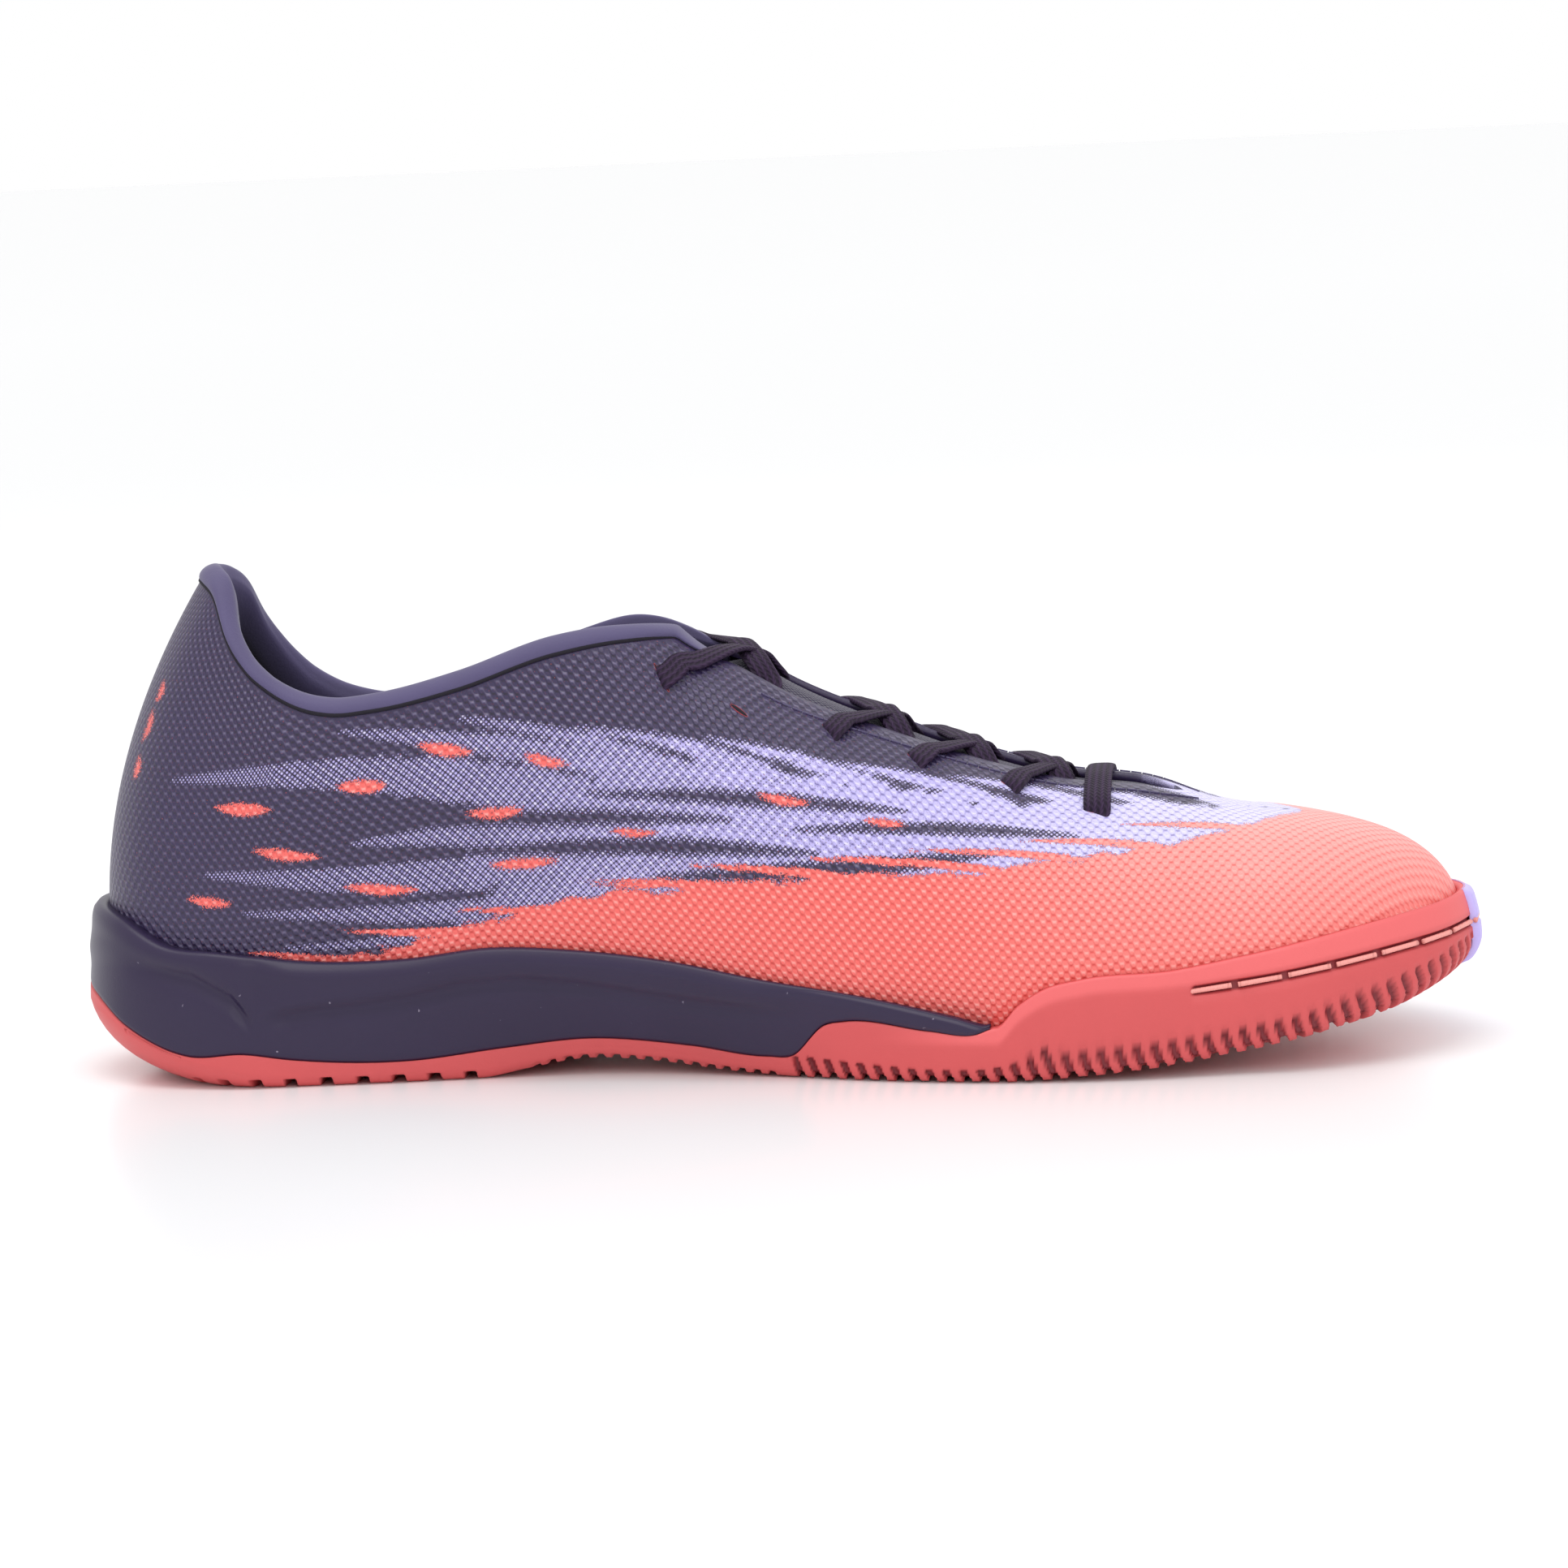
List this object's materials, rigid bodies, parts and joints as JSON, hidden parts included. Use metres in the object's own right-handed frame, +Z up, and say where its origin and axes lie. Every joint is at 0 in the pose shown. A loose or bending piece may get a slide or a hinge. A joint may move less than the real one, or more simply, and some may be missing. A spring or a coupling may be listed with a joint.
{
  "type": "indoor soccer shoe",
  "caption": "Low-cut indoor soccer shoe for the left foot, laced, with a hollow upper, padded collar and cupped rubber sole.",
  "frame": {"origin": "on the floor, under the middle of the shoe's box", "axes": "+X to the toe, +Y to the outer side of the foot, +Z up"},
  "size_m": [0.288, 0.0984, 0.1041],
  "materials": {
    "outsole": "moulded coral rubber",
    "midsole": "moulded satin plum foam",
    "toe_guard": "moulded lavender rubber",
    "upper": "embossed and printed coated synthetic",
    "lining": "smooth padded knit",
    "tongue": "knit",
    "insole": "fabric over foam",
    "lace": "flat woven lace"
  },
  "bodies": {
    "root": {"outsole": "outsole", "midsole": "midsole", "toe_guard": "toe_guard", "upper": "upper", "collar_lining": "lining", "tongue": "tongue", "insole": "insole", "lace_bar": "lace", "lace_cross_1": "lace", "lace_cross_2": "lace", "lace_cross_3": "lace", "lace_cross_4": "lace"}
  },
  "joints": []
}
